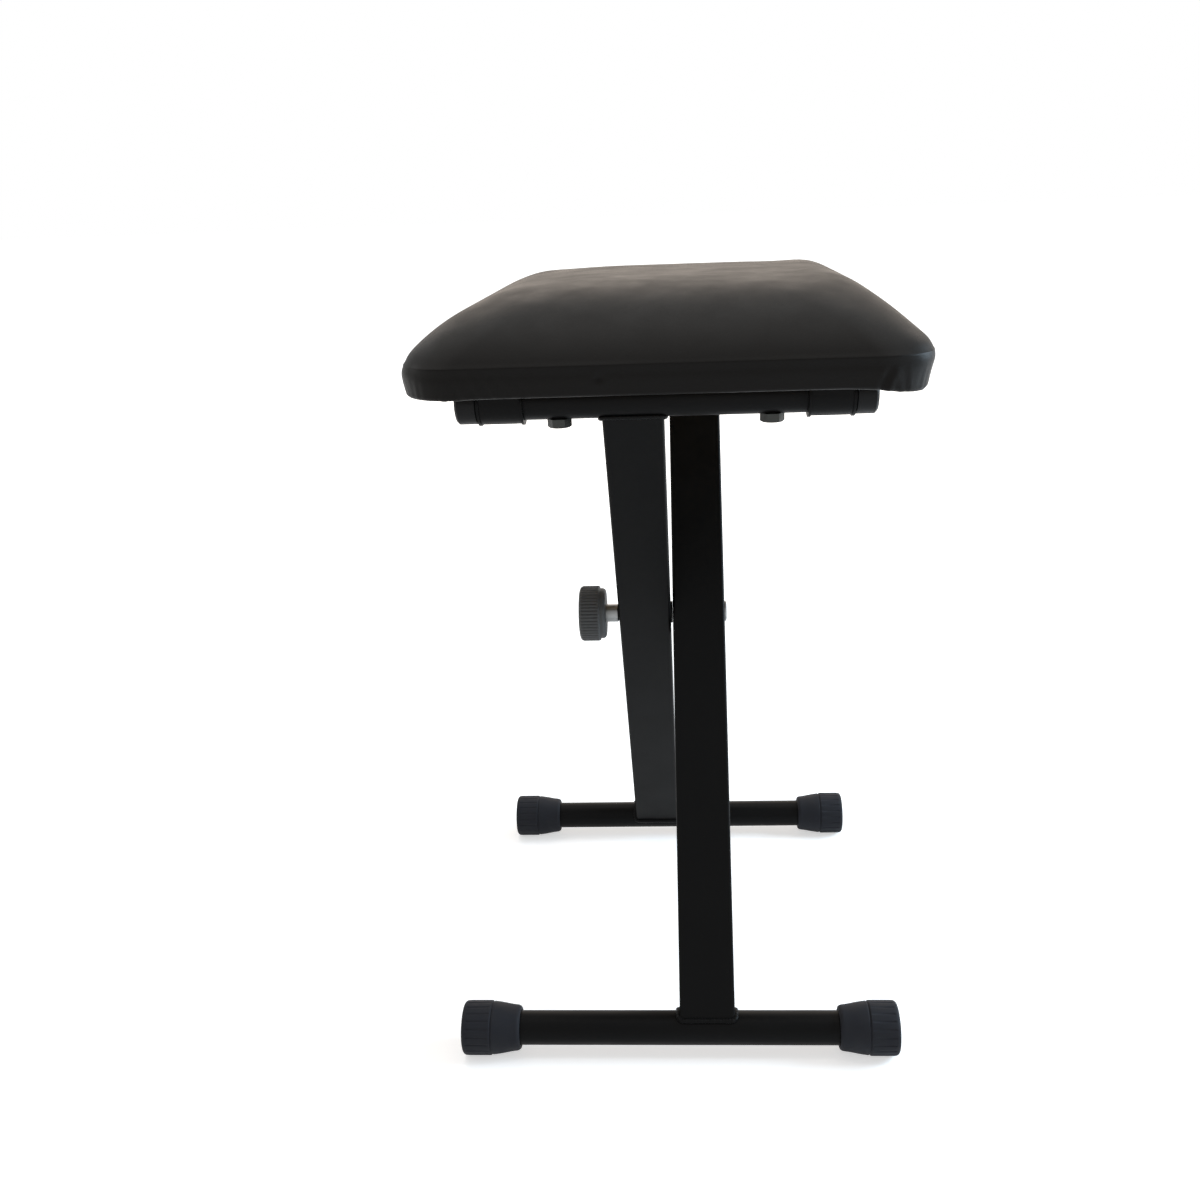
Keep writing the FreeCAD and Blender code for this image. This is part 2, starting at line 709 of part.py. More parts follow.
def make_welds(label, side, lateral):
    """Weld beads where the leg tube sits on the two round tubes."""
    beads = []
    for place in ("top", "foot"):
        for face in (-1, 1):
            bead = primitive(
                "Cylinder", f"{label}_{place}_{face + 1}",
                Radius="weld_leg / 2", Height="leg_width - 2 * leg_edge",
            )
            bead.Placement = FreeCAD.Placement(FreeCAD.Vector(), FreeCAD.Rotation(Y_AXIS, 90))
            bind(bead, Placement__Base__x=f"{lateral} * {LEG_MIDDLE} - leg_width / 2 + leg_edge")
            bind(bead, Placement__Base__y=f"{face} * leg_depth / 2")
            height = f"-1 * {TOE}" if place == "top" else f"{TOE} - {LEG}"
            bind(bead, Placement__Base__z=height)
            beads.append(bead)
    rods = []
    for place in ("top", "foot"):
        rod = primitive(
            "Cylinder", f"{label}_{place}_rod", Radius="tube_diameter / 2", Height="2 * leg_width",
        )
        rod.Placement = FreeCAD.Placement(FreeCAD.Vector(), FreeCAD.Rotation(Y_AXIS, 90))
        bind(rod, Placement__Base__x=f"{lateral} * {LEG_MIDDLE} - leg_width")
        if place == "foot":
            bind(rod, Placement__Base__z=f"-1 * {LEG}")
        rods.append(rod)
    column = primitive(
        "Box", f"{label}_column", Length="2 * leg_width", Width="leg_depth", Height=LEG,
    )
    bind(column, Placement__Base__x=f"{lateral} * {LEG_MIDDLE} - leg_width")
    bind(column, Placement__Base__y="-1 * leg_depth / 2")
    bind(column, Placement__Base__z=f"-1 * {LEG}")
    whole = doc.addObject("Part::Compound", label + "_beads")
    whole.Links = beads
    welds = piece(cut(label, whole, fuse(label + "_steel", rods + [column])), label)
    hang_on_leg(welds, side)


def make_floor_cap(label, side, end):
    """A rubber cap: ribbed outside, smooth inside, chamfered mouth, flat where it stands."""
    body = new_body(label)
    outline = sketch_in(body, "XY_Plane", label + "_outline")
    tip = f"{end} * bar_cap_span / 2"
    rib_end = f"{end} * (bar_cap_span / 2 - cap_ribbed)"
    mouth = f"{end} * (bar_cap_span / 2 - cap_length)"
    bore = "(tube_diameter / 2 + grip_gap)"
    polygon(
        outline,
        [
            (tip, "0"),
            (tip, "cap_diameter / 2 - cap_edge"),
            (
                f"{end} * (bar_cap_span / 2 - {EDGE_SHARE} * cap_edge)",
                f"cap_diameter / 2 - {EDGE_SHARE} * cap_edge",
            ),
            (f"{end} * (bar_cap_span / 2 - cap_edge)", "cap_diameter / 2"),
            (rib_end, "cap_diameter / 2"),
            (rib_end, "cap_neck / 2"),
            (f"{end} * (bar_cap_span / 2 - cap_ribbed - cap_shoulder)", "cap_neck / 2"),
            (mouth, "cap_mouth / 2"),
            (mouth, bore),
            (f"{end} * (bar_cap_span / 2 - cap_end)", bore),
            (f"{end} * (bar_cap_span / 2 - cap_end)", "0"),
        ],
    )
    revolve(body, outline)
    notch = sketch_in(
        body, "YZ_Plane", label + "_notch", offset=f"{end} * (bar_cap_span / 2 - cap_ribbed)",
    )
    polygon(
        notch,
        [
            ("-1 * cap_groove_width / 2", f"cap_diameter / 2 + {OVERCUT}"),
            ("0", "cap_diameter / 2 - cap_groove"),
            ("cap_groove_width / 2", f"cap_diameter / 2 + {OVERCUT}"),
        ],
    )
    groove = pocket(body, notch, "cap_ribbed - cap_edge", reverse=end > 0)
    ring = body.newObject("PartDesign::PolarPattern", label + "_ribs")
    ring.Originals = [groove]
    ring.Axis = (origin_axis(body, "X_Axis"), [""])
    ring.Angle = 360
    ring.Occurrences = CAP_RIB_COUNT
    body.Tip = ring
    sole = sketch_in(body, "XY_Plane", label + "_sole", offset=f"-1 * {BAR_HEIGHT}")
    half = "cap_diameter"
    polygon(
        sole,
        [
            (f"{end} * bar_cap_span", f"-1 * {half}"),
            (f"{end} * bar_cap_span", half),
            ("0", half),
            ("0", f"-1 * {half}"),
        ],
    )
    pocket(body, sole, "cap_diameter", reverse=False)
    place_on_floor_bar(body, side)


def origin_axis(body, role):
    return next(axis for axis in body.Origin.OriginFeatures if axis.Role == role)


def make_leg(name, side, lateral):
    """One leg: side is where its cross tube lies, lateral is its place beside the other leg."""
    make_leg_tube(f"{name}_leg_tube", side, lateral)
    make_cross_tube(f"{name}_cross_tube", side)
    make_floor_bar(f"{name}_floor_bar", side)
    make_tube_caps(f"{name}_tube_caps", side)
    make_stop_screws(f"{name}_hex_screws", side)
    make_welds(f"{name}_welds", side, lateral)
    make_floor_cap(f"{name}_floor_cap_a", side, -1)
    make_floor_cap(f"{name}_floor_cap_b", side, 1)


# locking knob and bolt


def turned(label, corners):
    """A turned piece on the bolt's axis, from an outline of (along, out) formulas."""
    body = new_body(label)
    outline = sketch_in(body, "XY_Plane", label + "_outline")
    polygon(outline, corners)
    revolve(body, outline)
    place_on_bolt(body)
    return body


def place_on_bolt(body):
    """Put a piece at the height where the two legs cross."""
    bind(body, Placement__Base__z=f"tube_height - tube_spacing / 2 / tan({LEAN})")


def make_lock():
    leg_face = "(leg_width + spacer_wall / 2)"
    neck_near = f"-1 * ({leg_face} + neck_gap)"
    neck_far = f"-1 * ({leg_face} + neck_gap + neck_length)"
    knob_far = f"-1 * ({leg_face} + neck_gap + neck_length + knob_length)"
    collar = f"-1 * ({leg_face} + neck_gap + neck_length + knob_collar)"
    bolt = "bolt_size / 2"
    washer_hole = "(bolt_size / 2 + bolt_gap)"
    spacer_near = "(-1 * spacer_wall / 2)"
    spacer_far = "(spacer_wall / 2 - bolt_cut)"
    turned(
        "spacer_washer",
        [
            (spacer_near, washer_hole),
            (spacer_near, "spacer_diameter / 2"),
            (spacer_far, "spacer_diameter / 2"),
            (spacer_far, washer_hole),
        ],
    )
    turned(
        "bolt_threaded_end",
        [
            (f"-1 * ({leg_face} + neck_gap + neck_length + knob_length / 2)", "0"),
            (f"-1 * ({leg_face} + neck_gap + neck_length + knob_length / 2)", bolt),
            (spacer_far, bolt),
            (spacer_far, "0"),
        ],
    )
    turned(
        "knob_neck",
        [
            (neck_far, bolt),
            (neck_far, "neck_diameter / 2"),
            (f"{neck_near} - neck_edge", "neck_diameter / 2"),
            (neck_near, "neck_diameter / 2 - neck_edge"),
            (neck_near, bolt),
        ],
    )
    knob = turned(
        "knob_grip",
        [
            (neck_far, bolt),
            (neck_far, "knob_step / 2 - knob_edge"),
            (f"{neck_far} - knob_edge / 2", "knob_step / 2"),
            (collar, "knob_step / 2"),
            (collar, "knob_diameter / 2"),
            (f"{knob_far} + knob_edge", "knob_diameter / 2"),
            (
                f"{knob_far} + {EDGE_SHARE} * knob_edge",
                f"knob_diameter / 2 - {EDGE_SHARE} * knob_edge",
            ),
            (knob_far, "knob_diameter / 2 - knob_edge"),
            (knob_far, "0"),
            (f"{knob_far} + knob_length / 2", "0"),
            (f"{knob_far} + knob_length / 2", bolt),
        ],
    )
    notch = sketch_in(knob, "YZ_Plane", "knob_notch", offset=knob_far)
    width = f"(tan({180 / KNOB_RIB_COUNT}) * knob_diameter / 4)"
    polygon(
        notch,
        [
            (f"-1 * {width}", f"knob_diameter / 2 + {OVERCUT}"),
            ("0", "knob_diameter / 2 - knob_groove"),
            (width, f"knob_diameter / 2 + {OVERCUT}"),
        ],
    )
    groove = pocket(knob, notch, "knob_length - knob_collar", reverse=True)
    ring = knob.newObject("PartDesign::PolarPattern", "knob_ribs")
    ring.Originals = [groove]
    ring.Axis = (origin_axis(knob, "X_Axis"), [""])
    ring.Angle = 360
    ring.Occurrences = KNOB_RIB_COUNT
    knob.Tip = ring
    turned(
        "bolt_head_end",
        [
            ("spacer_wall / 2", "0"),
            ("spacer_wall / 2", bolt),
            (f"{leg_face} + bolt_gap", bolt),
            (f"{leg_face} + bolt_gap", "bolt_head / 2"),
            (f"{leg_face} + bolt_gap + {DOME_BEND_RISE} * bolt_head_rise", "bolt_head / 2"),
            (f"{leg_face} + bolt_gap + bolt_head_rise", f"bolt_head * {BOLT_TOP}"),
            (f"{leg_face} + bolt_gap + bolt_head_rise", "0"),
        ],
    )


make_seat_board()
make_seat_foam()
make_seat_cover()
make_staples()
for strap_end, strap_row in ((-1, "front"), (1, "rear")):
    for strap_side, strap_hand in ((-1, "left"), (1, "right")):
        make_strap(f"{strap_row}_{strap_hand}_strap", strap_side, strap_end)
make_strap_screws()
make_leg("left", -1, -1)
make_leg("right", 1, 1)
make_lock()
doc.recompute()

for thing in doc.Objects:
    if {"Invalid", "Error"} & set(thing.State):
        raise RuntimeError(f"{thing.Label} did not build: {thing.State}")
for thing in PIECES:
    if thing.Shape.isNull() or not thing.Shape.isValid() or not thing.Shape.Solids:
        raise RuntimeError(f"{thing.Label} has no valid solid")

os.makedirs("parts", exist_ok=True)
for thing in PIECES:
    thing.Shape.exportStep(f"parts/{thing.Label}.step")
    print(f"{thing.Label}: {len(thing.Shape.Solids)} solids, {thing.Shape.Volume / 1000:.1f} cm3")
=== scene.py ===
"""Looks of the folding keyboard bench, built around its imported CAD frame.

Metres, in the frame's own axes: +X along the floor bars, +Y to the back, +Z up.
"""
import json
import math
import random

import bmesh
import bpy
from mathutils import Matrix, Vector, noise


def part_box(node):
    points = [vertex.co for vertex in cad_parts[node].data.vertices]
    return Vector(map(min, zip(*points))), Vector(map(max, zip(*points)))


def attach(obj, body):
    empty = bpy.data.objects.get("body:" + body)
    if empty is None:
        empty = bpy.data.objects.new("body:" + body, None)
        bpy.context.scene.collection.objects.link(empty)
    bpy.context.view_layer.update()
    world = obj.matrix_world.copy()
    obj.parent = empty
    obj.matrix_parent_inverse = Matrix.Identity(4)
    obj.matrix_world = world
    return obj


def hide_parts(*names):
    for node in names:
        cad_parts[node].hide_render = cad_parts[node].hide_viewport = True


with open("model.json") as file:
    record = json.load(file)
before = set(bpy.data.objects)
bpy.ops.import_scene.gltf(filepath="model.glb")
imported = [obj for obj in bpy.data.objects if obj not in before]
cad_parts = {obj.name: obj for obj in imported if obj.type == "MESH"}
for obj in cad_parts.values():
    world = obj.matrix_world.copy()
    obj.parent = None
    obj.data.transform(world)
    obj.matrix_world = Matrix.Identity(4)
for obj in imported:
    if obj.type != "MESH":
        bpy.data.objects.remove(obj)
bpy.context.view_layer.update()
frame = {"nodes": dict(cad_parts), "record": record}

MM = 0.001
nodes = frame["nodes"]


# Helpers for node materials

def new_material(name, roughness, metallic=0.0, specular=0.5):
    """A material with one Principled shader, as (node tree, shader)."""
    material = bpy.data.materials.new(name)
    material.use_nodes = True
    tree = material.node_tree
    shader = tree.nodes["Principled BSDF"]
    shader.inputs["Roughness"].default_value = roughness
    shader.inputs["Metallic"].default_value = metallic
    shader.inputs["Specular IOR Level"].default_value = specular
    return material, tree, shader


def place(tree):
    """Places on the object in metres."""
    return tree.nodes.new("ShaderNodeTexCoord").outputs["Object"]


def stretched(tree, scale):
    """Places on the object, stretched by a scale along each axis."""
    mapping = tree.nodes.new("ShaderNodeMapping")
    mapping.inputs["Scale"].default_value = scale
    tree.links.new(place(tree), mapping.inputs["Vector"])
    return mapping.outputs["Vector"]


def noise_field(tree, size, detail=2.0, where=None):
    """A noise whose patches are about size metres across."""
    field = tree.nodes.new("ShaderNodeTexNoise")
    field.inputs["Scale"].default_value = 1 / size
    field.inputs["Detail"].default_value = detail
    tree.links.new(where or place(tree), field.inputs["Vector"])
    return field.outputs["Fac"]


def cells(tree, size):
    """The distance to the nearest edge of cells that are about size metres across."""
    field = tree.nodes.new("ShaderNodeTexVoronoi")
    field.feature = "DISTANCE_TO_EDGE"
    field.inputs["Scale"].default_value = 1 / size
    tree.links.new(place(tree), field.inputs["Vector"])
    return field.outputs["Distance"]


def spread(tree, value, low, high, from_low=0.0, from_high=1.0):
    """A value mapped from one range to another."""
    ramp = tree.nodes.new("ShaderNodeMapRange")
    ramp.inputs["From Min"].default_value = from_low
    ramp.inputs["From Max"].default_value = from_high
    ramp.inputs["To Min"].default_value = low
    ramp.inputs["To Max"].default_value = high
    tree.links.new(value, ramp.inputs["Value"])
    return ramp.outputs["Result"]


def mixed(tree, share, first, second):
    """Two colours mixed by a share; a colour is a socket or three numbers."""
    mix = tree.nodes.new("ShaderNodeMix")
    mix.data_type = "RGBA"
    tree.links.new(share, mix.inputs["Factor"])
    for name, colour in (("A", first), ("B", second)):
        socket = [s for s in mix.inputs if s.name == name and s.type == "RGBA"][0]
        if isinstance(colour, tuple):
            socket.default_value = (*colour, 1)
        else:
            tree.links.new(colour, socket)
    return [s for s in mix.outputs if s.type == "RGBA"][0]


def math_node(tree, operation, first, second):
    """One sum on two values; each is a socket or a number."""
    node = tree.nodes.new("ShaderNodeMath")
    node.operation = operation
    for socket, value in zip(node.inputs, (first, second)):
        if isinstance(value, (int, float)):
            socket.default_value = value
        else:
            tree.links.new(value, socket)
    return node.outputs["Value"]


def bump(tree, shader, height, depth, strength, below=None):
    """A bump of a real depth in metres, over the one below it."""
    node = tree.nodes.new("ShaderNodeBump")
    node.inputs["Strength"].default_value = strength
    node.inputs["Distance"].default_value = depth
    tree.links.new(height, node.inputs["Height"])
    if below is not None:
        tree.links.new(below, node.inputs["Normal"])
    tree.links.new(node.outputs["Normal"], shader.inputs["Normal"])
    return node.outputs["Normal"]


# Materials

def vinyl():
    """Black vinyl with a fine leather grain and a soft sheen."""
    material, tree, shader = new_material("black_vinyl", 0.42, specular=0.085)
    grain = cells(tree, 1.1 * MM)
    mottle = noise_field(tree, 22 * MM, 4)
    fine = noise_field(tree, 0.5 * MM, 2)
    colour = mixed(tree, mottle, (0.005, 0.0045, 0.0041), (0.0075, 0.0067, 0.006))
    tree.links.new(colour, shader.inputs["Base Color"])
    rough = spread(tree, mottle, 0.4, 0.5, 0.3, 0.7)
    tree.links.new(rough, shader.inputs["Roughness"])
    first = bump(tree, shader, spread(tree, grain, 0, 1, 0, 0.12), 0.05 * MM, 0.5)
    bump(tree, shader, fine, 0.03 * MM, 0.35, first)
    return material


def powder_coat():
    """Satin black powder coat with a fine orange peel."""
    material, tree, shader = new_material("powder_coated_steel", 0.4, specular=0.07)
    peel = noise_field(tree, 1.3 * MM, 3)
    wide = noise_field(tree, 30 * MM, 3)
    colour = mixed(tree, wide, (0.003, 0.003, 0.0031), (0.0046, 0.0045, 0.0044))
    tree.links.new(colour, shader.inputs["Base Color"])
    tree.links.new(spread(tree, wide, 0.36, 0.46, 0.3, 0.7), shader.inputs["Roughness"])
    bump(tree, shader, peel, 0.05 * MM, 0.35)
    return material


def rubber():
    """Matte black rubber with a bluish bloom."""
    material, tree, shader = new_material("black_rubber", 0.7, specular=0.2)
    bloom = noise_field(tree, 9 * MM, 5)
    speck = noise_field(tree, 0.6 * MM, 2)
    colour = mixed(tree, bloom, (0.0085, 0.0092, 0.0122), (0.014, 0.0153, 0.0202))
    tree.links.new(colour, shader.inputs["Base Color"])
    tree.links.new(spread(tree, bloom, 0.62, 0.76, 0.3, 0.7), shader.inputs["Roughness"])
    bump(tree, shader, speck, 0.05 * MM, 0.4)
    return material


def plastic(name, dark, light, roughness, specular=0.4):
    """Moulded plastic with a faint texture."""
    material, tree, shader = new_material(name, roughness, specular=specular)
    cloud = noise_field(tree, 7 * MM, 3)
    speck = noise_field(tree, 0.4 * MM, 2)
    tree.links.new(mixed(tree, cloud, dark, light), shader.inputs["Base Color"])
    rough = spread(tree, cloud, roughness - 0.06, roughness + 0.06, 0.3, 0.7)
    tree.links.new(rough, shader.inputs["Roughness"])
    bump(tree, shader, speck, 0.03 * MM, 0.4)
    return material


def zinc(name, dark, light, roughness):
    """Plated steel, cloudy with fine turning marks."""
    material, tree, shader = new_material(name, roughness, metallic=1.0)
    cloud = noise_field(tree, 3 * MM, 4)
    marks = noise_field(tree, 1 * MM, 2, stretched(tree, (6, 0.4, 0.4)))
    tree.links.new(mixed(tree, cloud, dark, light), shader.inputs["Base Color"])
    rough = spread(tree, cloud, roughness - 0.08, roughness + 0.08, 0.3, 0.7)
    tree.links.new(rough, shader.inputs["Roughness"])
    bump(tree, shader, marks, 0.02 * MM, 0.4)
    return material


def plywood():
    """Birch plywood, grained along the bench's length."""
    material, tree, shader = new_material("plywood", 0.7, specular=0.3)
    grain = noise_field(tree, 4 * MM, 5, stretched(tree, (1, 0.06, 1)))
    wide = noise_field(tree, 40 * MM, 3, stretched(tree, (1, 0.15, 1)))
    light = mixed(tree, wide, (0.47, 0.33, 0.19), (0.6, 0.45, 0.28))
    colour = mixed(tree, spread(tree, grain, 0, 1, 0.35, 0.75), light, (0.34, 0.22, 0.12))
    tree.links.new(colour, shader.inputs["Base Color"])
    bump(tree, shader, grain, 0.15 * MM, 0.5)
    return material


MATERIALS = {
    "black_vinyl": vinyl(),
    "powder_coated_steel": powder_coat(),
    "black_rubber": rubber(),
    "black_plastic": plastic("black_plastic", (0.005, 0.005, 0.0053), (0.0075, 0.0075, 0.0078), 0.45, 0.12),
    "grey_plastic": plastic("grey_plastic", (0.062, 0.064, 0.064), (0.084, 0.084, 0.084), 0.6, 0.25),
    "zinc_steel": zinc("zinc_steel", (0.2, 0.205, 0.205), (0.3, 0.3, 0.295), 0.4),
    "black_zinc_steel": zinc("black_zinc_steel", (0.032, 0.034, 0.032), (0.055, 0.057, 0.055), 0.5),
    "plywood": plywood(),
    "foam": plastic("foam", (0.6, 0.56, 0.42), (0.72, 0.68, 0.52), 0.9),
}

# materials whose nodes keep their edges as they are
PLAIN_EDGE_SLOTS = ("black_vinyl", "foam", "black_rubber", "grey_plastic", "plywood")
EDGE_BEVEL = 0.3 * MM
SHARP_ANGLE = math.radians(40)


def break_edges(node):
    """The slightly rounded edges that cut and coated steel has."""
    bevel = node.modifiers.new("broken_edges", "BEVEL")
    bevel.width = EDGE_BEVEL
    bevel.segments = 2
    bevel.limit_method = "ANGLE"
    bevel.angle_limit = SHARP_ANGLE


for row in frame["record"]["subparts"]:
    if row["material_slot"] not in PLAIN_EDGE_SLOTS:
        break_edges(nodes[row["node"]])
    slots = nodes[row["node"]].data.materials
    slots.clear()
    slots.append(MATERIALS[row["material_slot"]])
    for face in nodes[row["node"]].data.polygons:
        face.material_index = 0


# Helpers for meshes

def new_piece(name, points, faces, slot, body, *replaced, sharp=SHARP_ANGLE):
    """A piece from points and faces, dressed and set on its body."""
    mesh = bpy.data.meshes.new(name)
    mesh.from_pydata([tuple(p) for p in points], [], faces)
    mesh.validate()
    shape = bmesh.new()
    shape.from_mesh(mesh)
    bmesh.ops.recalc_face_normals(shape, faces=shape.faces)
    shape.to_mesh(mesh)
    shape.free()
    mesh.materials.append(MATERIALS[slot])
    piece = bpy.data.objects.new(name, mesh)
    bpy.context.scene.collection.objects.link(piece)
    mesh.shade_smooth()
    mesh.set_sharp_from_angle(angle=sharp)
    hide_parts(*replaced)
    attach(piece, body)
    return piece


def quads(rings, count):
    """Faces between closed rings of points that are stored one after the other."""
    faces = []
    for ring in range(rings - 1):
        low = ring * count
        for step in range(count):
            after = (step + 1) % count
            faces.append((low + step, low + after, low + count + after, low + count + step))
    return faces


# Cushion

def smooth_step(value, low, high):
    """0 below low, 1 above high, and a smooth rise between."""
    share = min(1.0, max(0.0, (value - low) / (high - low)))
    return share * share * (3 - 2 * share)


def hump(value, middle, width):
    """A smooth hump of height 1."""
    return math.exp(-((value - middle) / width) ** 2)


def swell(value, form):
    """A swell, or a hollow where its height is below 0; the form is (height, middle, width)."""
    height, middle, width = form
    return height * hump(value, middle, width)


# steps along a straight side and round a corner, and rings of each part of the section
STRAIGHT_STEPS = 120
ARC_STEPS = 34
HEM_RINGS = 7
FOLD_RINGS = 7
SIDE_RINGS = 14
CROWN_RINGS = 44
TOP_SHARES = (0.02, 0.3, 0.6, 0.85)

# the cover round the board: corner, hem, fold and upright side
SEAT_CORNER = 34 * MM
LEAST_CORNER = 2 * MM
DRAWN_IN = 2 * MM
FOLD = 2.4 * MM
HEM_EDGE = DRAWN_IN + 18 * MM
HEM_WALL = 1.2 * MM
HEM_SWELL = 0.2 * MM
PAD_GAP = 0.3 * MM
SIDE_BAND = 17.5 * MM

# the crown: its section, its lean to the right, and how round it is from above
FULLNESS = 4.8
ROUNDNESS = 0.93
CROWN_LEAN = 14 * MM
PLAN_ROUNDING = 0.72
CROWN_END = math.radians(89)
CROWN_SPACING = 0.92

COVER_LOW, COVER_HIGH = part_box("seat_cover")
BOARD_LOW, BOARD_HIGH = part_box("seat_board")
SEAT_HALF = ((COVER_HIGH.x - COVER_LOW.x) / 2, (COVER_HIGH.y - COVER_LOW.y) / 2)
SEAT_BOTTOM = COVER_LOW.z
WIDEST = SEAT_BOTTOM + SIDE_BAND
CROWN = COVER_HIGH.z - WIDEST


def seat_ring(half, radius, height, shift=0.0):
    """One ring of the cushion, as (point, outward direction)."""
    radius = min(radius, half[0] * 0.999, half[1] * 0.999)
    ring = []
    for turn, (side_x, side_y) in enumerate(((1, -1), (1, 1), (-1, 1), (-1, -1))):
        start = math.radians(90 * turn - 90)
        outward = Vector((math.cos(start), math.sin(start), 0))
        along = Vector((-math.sin(start), math.cos(start), 0))
        run = half[turn % 2] - radius
        centre = Vector((side_x * (half[0] - radius) + shift, side_y * (half[1] - radius), height))
        for step in range(STRAIGHT_STEPS):
            left = run * 2 * (1 - step / STRAIGHT_STEPS)
            ring.append((centre + outward * radius - along * left, outward))
        for step in range(ARC_STEPS):
            angle = start + math.radians(90) * step / ARC_STEPS
            way = Vector((math.cos(angle), math.sin(angle), 0))
            ring.append((centre + way * radius, way))
    return ring


def inset_ring(inset, height):
    """A ring at a distance inside the cushion's widest outline."""
    half = SEAT_HALF[0] - inset, SEAT_HALF[1] - inset
    return seat_ring(half, max(SEAT_CORNER - inset, LEAST_CORNER), height)


def inner_rings():
    """The rings over the board, down its edge and along the inner face of the hem."""
    board_half = (BOARD_HIGH.x - BOARD_LOW.x) / 2 + PAD_GAP
    wrap = SEAT_HALF[0] - board_half
    top = BOARD_HIGH.z + PAD_GAP
    underside = BOARD_LOW.z - PAD_GAP / 3
    rings = []
    for share in TOP_SHARES:
        half = SEAT_HALF[0] * share, SEAT_HALF[1] * share
        rings.append(seat_ring(half, SEAT_CORNER * share, top))
    rings += [inset_ring(wrap, top), inset_ring(wrap, underside)]
    rings += [inset_ring((wrap + HEM_EDGE) / 2, underside), inset_ring(HEM_EDGE, underside)]
    return rings


def outer_rings():
    """The rings round the hem's edge, along the hem, round the fold, up the side and over the crown."""
    rings = [inset_ring(HEM_EDGE + HEM_SWELL, SEAT_BOTTOM + HEM_WALL / 2), inset_ring(HEM_EDGE, SEAT_BOTTOM)]
    for step in range(1, HEM_RINGS + 1):
        inset = HEM_EDGE + (DRAWN_IN + FOLD - HEM_EDGE) * step / (HEM_RINGS + 1)
        rings.append(inset_ring(inset, SEAT_BOTTOM))
    for step in range(FOLD_RINGS):
        angle = math.radians(90) * step / (FOLD_RINGS - 1)
        inset = DRAWN_IN + FOLD * (1 - math.sin(angle))
        rings.append(inset_ring(inset, SEAT_BOTTOM + FOLD * (1 - math.cos(angle))))
    for step in range(1, SIDE_RINGS + 1):
        share = step / (SIDE_RINGS + 1)
        inset = DRAWN_IN * (1 - math.sin(math.radians(90) * share))
        rings.append(inset_ring(inset, SEAT_BOTTOM + FOLD + (SIDE_BAND - FOLD) * share))
    for step in range(CROWN_RINGS):
        angle = CROWN_END * (step / (CROWN_RINGS - 1)) ** CROWN_SPACING
        keep = math.cos(angle) ** (2 / FULLNESS)
        rise = math.sin(angle) ** (2 * ROUNDNESS)
        spread_out = PLAN_ROUNDING * (1 - keep) * (SEAT_HALF[0] - SEAT_CORNER)
        radius = (SEAT_CORNER + spread_out) * keep
        half = SEAT_HALF[0] * keep, SEAT_HALF[1] * keep
        rings.append(seat_ring(half, radius, WIDEST + CROWN * rise, CROWN_LEAN * (1 - keep)))
    return rings


# the right and the left front corner, in the order in which the rings run
RIGHT_FRONT = 0
LEFT_FRONT = 3
CORNER_PLEATS = 9
CORNER_PLEAT_SPACING = 8.5 * MM
FRONT_PLEATS = 6
FRONT_PLEAT_START = 34 * MM
FRONT_PLEAT_SPACING = 7.5 * MM
PLEAT_REACH = 25 * MM
PLEAT_SHARE = 0.8


def corner_pleats(seed):
    """Pleats round the corners, as (corner, place along the rim, lean, width, depth)."""
    draw = random.Random(seed)
    pleats = []
    for corner in range(4):
        for step in range(CORNER_PLEATS):
            place_on = (step - (CORNER_PLEATS - 1) / 2) * CORNER_PLEAT_SPACING
            along = place_on + draw.uniform(-2.5, 2.5) * MM
            lean = along * draw.uniform(0.25, 0.6) + draw.uniform(-1.5, 1.5) * MM
            width = draw.uniform(1.5, 2.6) * MM
            pleats.append((corner, along, lean, width, draw.uniform(0.15, 0.5) * MM))
    for step in range(FRONT_PLEATS):
        along = FRONT_PLEAT_START + FRONT_PLEAT_SPACING * step + draw.uniform(-2, 2) * MM
        lean = draw.uniform(-11, -6) * MM
        width = draw.uniform(1.8, 2.6) * MM
        pleats.append((LEFT_FRONT, along, lean, width, draw.uniform(0.8, 1.2) * MM))
    return pleats


def from_corner(step):
    """The nearest corner of a rim point and its signed distance along the rim from that corner."""
    side = STRAIGHT_STEPS + ARC_STEPS
    turn, left = divmod(step, side)
    arc = SEAT_CORNER * math.radians(90)
    run = 2 * (SEAT_HALF[turn % 2] - SEAT_CORNER)
    if left >= STRAIGHT_STEPS:
        return turn, ((left - STRAIGHT_STEPS) / ARC_STEPS - 0.5) * arc
    place_on = run * left / STRAIGHT_STEPS
    if place_on > run / 2:
        return turn, place_on - run - arc / 2
    return (turn - 1) % 4, place_on + arc / 2


# swells and hollows by height, as (height, middle, width): the rim and the hollow below it on the
# long sides, the blunted rim of the two ends, and the fuller right end
SIDE_RIM = (0.3 * MM, WIDEST, 1.3 * MM)
SIDE_HOLLOW = (-0.35 * MM, WIDEST - 4.5 * MM, 2.2 * MM)
END_HOLLOW = (-1.7 * MM, WIDEST + 0.5 * MM, 3.6 * MM)
RIGHT_END = (3 * MM, WIDEST + 1 * MM, 9 * MM)

# the dimple on the front side, its pit and its rim by the distance from its middle
DIMPLE = Vector((-34.9, 0, 470.9)) * MM
DIMPLE_PIT = (-1.5 * MM, 0, 2.0 * MM)
DIMPLE_RIM = (0.35 * MM, 4.2 * MM, 1.6 * MM)

# the drawn crease near the right front corner, its pit and its lip by the distance across it
CREASE_FOOT = 118.5 * MM
CREASE_LEAN = 7 * MM
CREASE_PIT = (-1.7 * MM, 0, 1.5 * MM)
CREASE_LIP = (0.9 * MM, 3.8 * MM, 2.4 * MM)

# the shoulders of the crown by the place across it, and where they fade to the front and back
SHOULDERS = ((3.8 * MM, 107 * MM, 22 * MM), (1.2 * MM, -90 * MM, 16 * MM))
SHOULDER_FADE = (60 * MM, 150 * MM)

